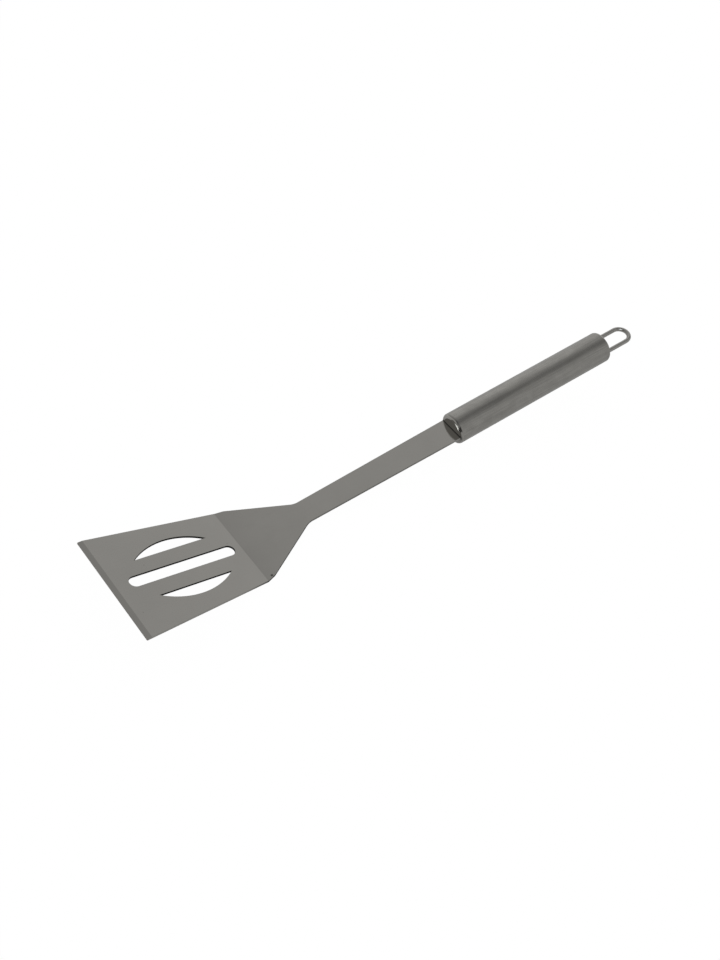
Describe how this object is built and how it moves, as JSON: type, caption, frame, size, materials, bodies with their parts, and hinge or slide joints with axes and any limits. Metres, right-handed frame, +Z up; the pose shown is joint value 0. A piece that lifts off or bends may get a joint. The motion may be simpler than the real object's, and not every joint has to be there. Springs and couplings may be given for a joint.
{
  "type": "grill turner",
  "caption": "Grill turner with a wide slotted blade bent up from a flat shank, a closed round tube handle and a fixed wire hanging loop.",
  "frame": {"origin": "on the table, under the middle of the turner's length and width, as it lies on its heel and on the lower front rim of the handle", "axes": "+X from the blade's front edge toward the hanging loop, +Z up, +Y to one side; the turner is symmetric about the plane Y = 0"},
  "size_m": [0.4148, 0.0836, 0.0299],
  "materials": {
    "brushed_sheet": "satin, fine grain",
    "brushed_tube": "satin, brushed along the handle",
    "polished_cap": "polished",
    "polished_wire": "polished",
    "weld_steel": "as welded"
  },
  "bodies": {
    "root": {"blade_and_shank": "brushed_sheet", "handle_tube": "brushed_tube", "front_cap": "polished_cap", "rear_cap": "polished_cap", "hanging_loop": "polished_wire", "shank_weld": "weld_steel", "loop_welds": "weld_steel"}
  },
  "joints": []
}
